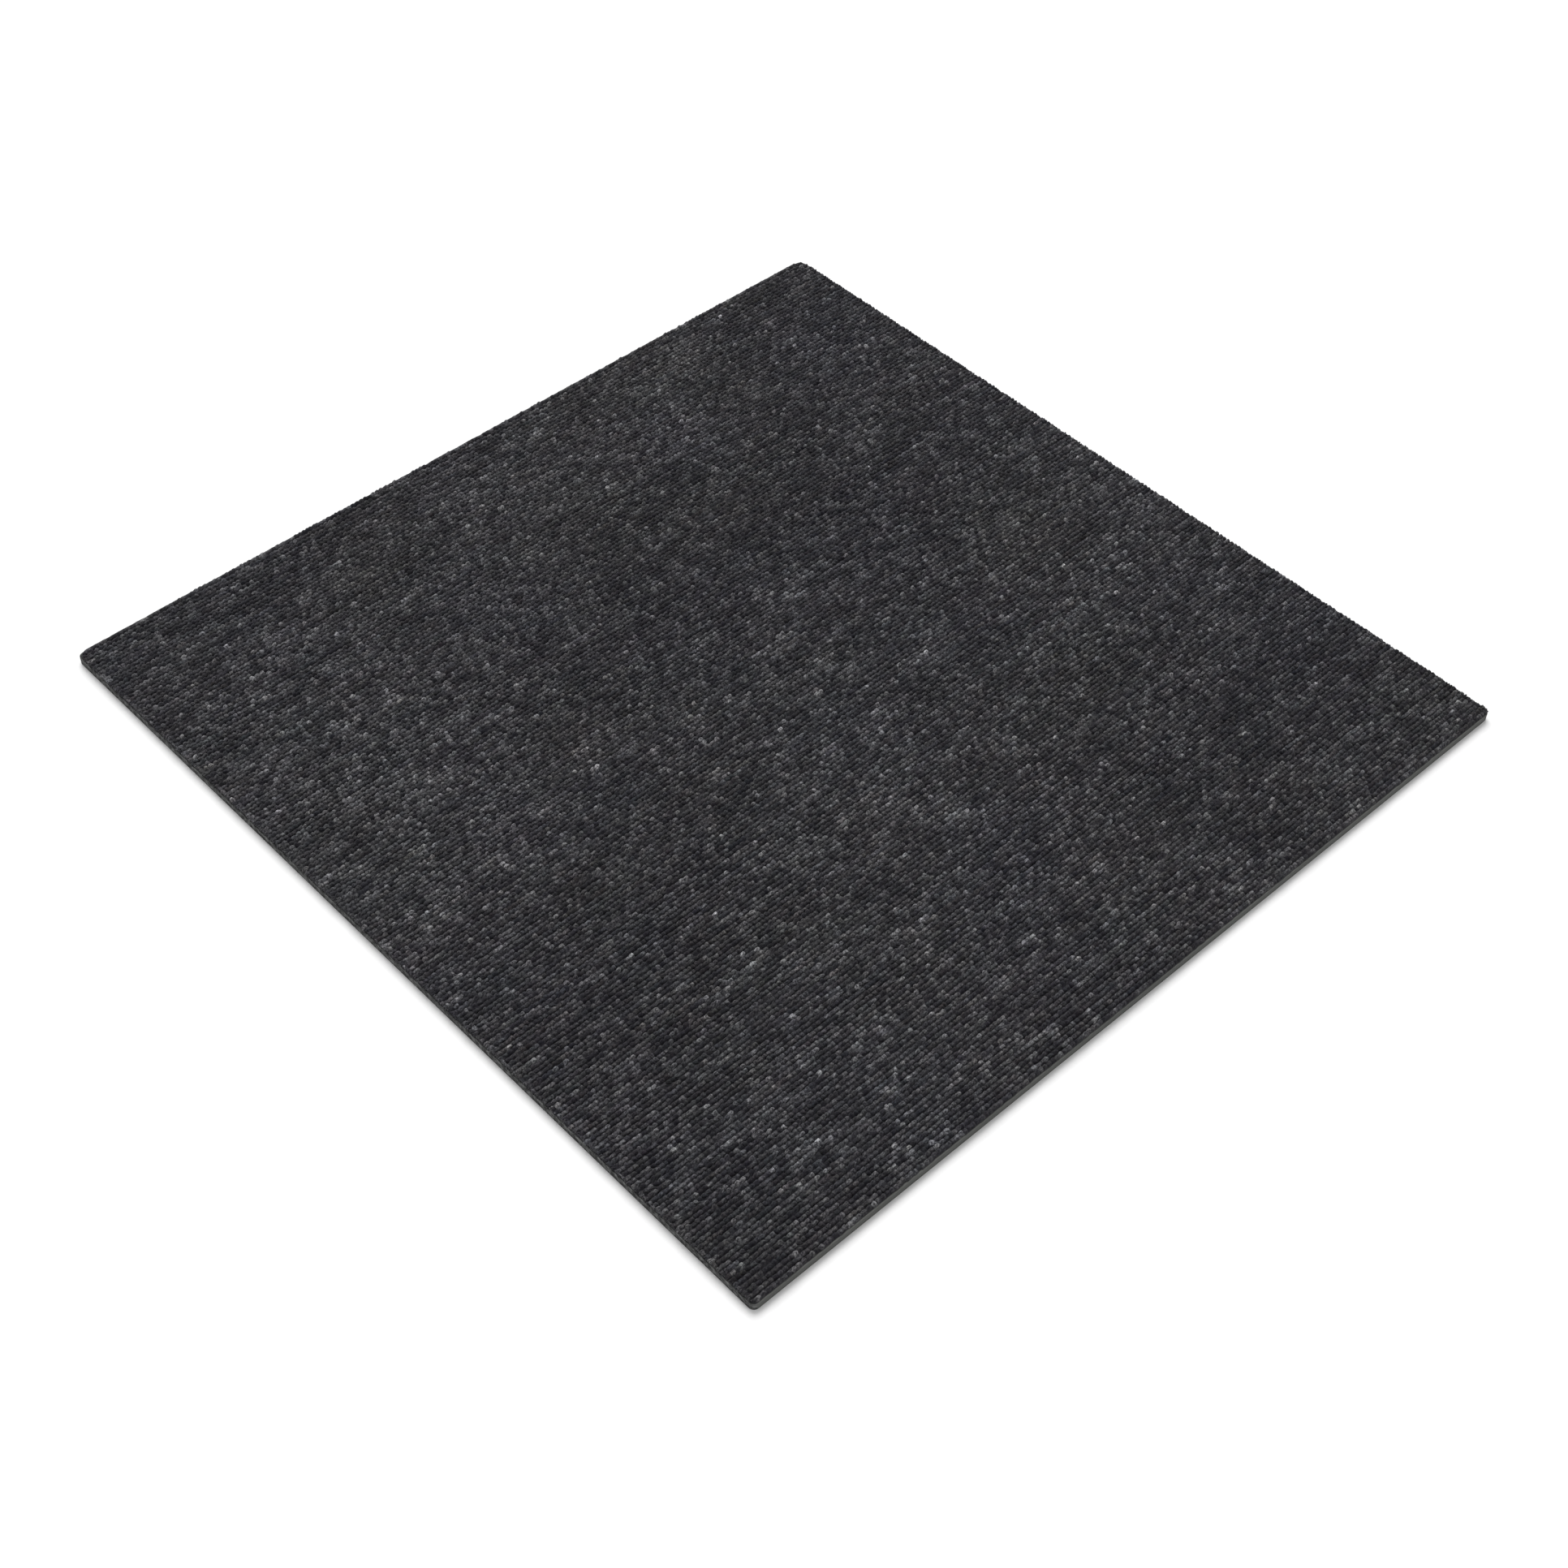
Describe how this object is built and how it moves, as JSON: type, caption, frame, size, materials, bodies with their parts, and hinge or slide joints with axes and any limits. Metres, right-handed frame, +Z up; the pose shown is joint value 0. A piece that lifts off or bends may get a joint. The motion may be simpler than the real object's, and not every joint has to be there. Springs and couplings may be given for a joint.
{
  "type": "carpet tile",
  "caption": "Square loop-pile carpet tile in charcoal: parallel rows of tufted loops bonded to a heavy flat backing slab.",
  "frame": {"origin": "middle of the underside, on the floor plane", "axes": "+X along the tuft rows, +Y across them, +Z up through the pile"},
  "size_m": [0.5, 0.5, 0.0062],
  "materials": {
    "backing": "matt filled bitumen, cut edge grey, faint fleece print underneath",
    "pile_yarn": "matt heathered yarn, charcoal with grey and faintly violet and olive flecks"
  },
  "bodies": {
    "root": {"backing": "backing", "loop_pile": "pile_yarn"}
  },
  "joints": []
}
